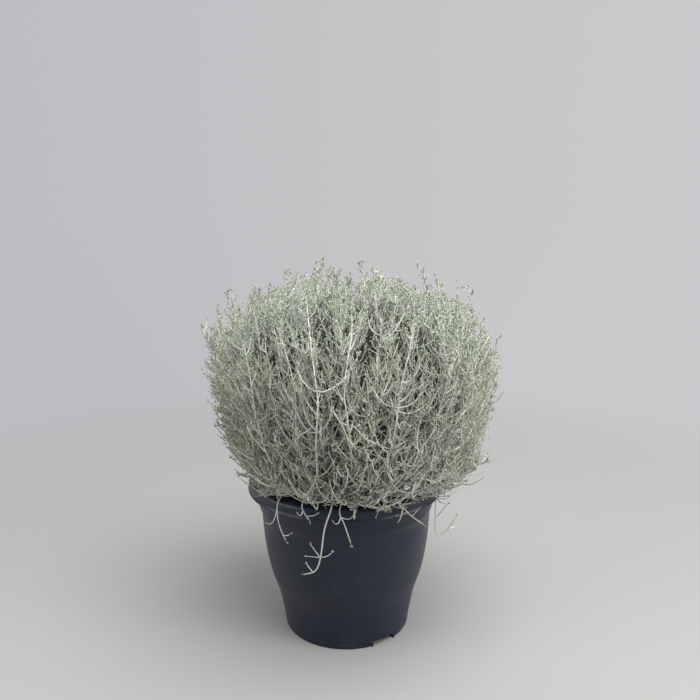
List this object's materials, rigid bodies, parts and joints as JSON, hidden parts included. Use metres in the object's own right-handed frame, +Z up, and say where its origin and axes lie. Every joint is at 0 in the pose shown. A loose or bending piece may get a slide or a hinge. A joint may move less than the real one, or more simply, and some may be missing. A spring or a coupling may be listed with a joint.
{
  "type": "potted cushion bush",
  "caption": "Round silver-grey wiry bush, dome shaped, growing in a dark round nursery pot with a turned-down lip and stepped collar, with loose sprigs trailing over the rim.",
  "frame": {"origin": "middle of the pot's flat foot, on the surface it stands on", "axes": "+Z up along the pot's axis; -Y towards the viewer of the picture, with the sprigs that trail over the lip; +X to the viewer's right"},
  "size_m": [0.4085, 0.4086, 0.5073],
  "materials": {
    "pot_plastic": "satin",
    "soil": "matte",
    "bark": "matte",
    "lower_felt": "matte",
    "upper_felt": "matte"
  },
  "bodies": {
    "root": {"pot": "pot_plastic", "potting_soil": "soil", "spray_shoulder_1": "upper_felt", "spray_shoulder_2": "upper_felt", "spray_shoulder_3": "upper_felt", "spray_shoulder_4": "upper_felt", "spray_shoulder_5": "upper_felt", "spray_shoulder_6": "upper_felt", "spray_side_1": "lower_felt", "spray_side_2": "lower_felt", "spray_side_3": "lower_felt", "spray_side_4": "lower_felt", "spray_side_5": "lower_felt", "spray_side_6": "lower_felt", "spray_side_7": "lower_felt", "spray_side_8": "lower_felt", "spray_side_9": "lower_felt", "spray_skirt_1": "lower_felt", "spray_skirt_2": "lower_felt", "spray_skirt_3": "lower_felt", "spray_skirt_4": "lower_felt", "spray_skirt_5": "lower_felt", "spray_skirt_6": "lower_felt", "spray_skirt_7": "lower_felt", "spray_skirt_8": "lower_felt", "spray_skirt_9": "lower_felt", "spray_top": "upper_felt", "woody_crown": "bark"}
  },
  "joints": []
}
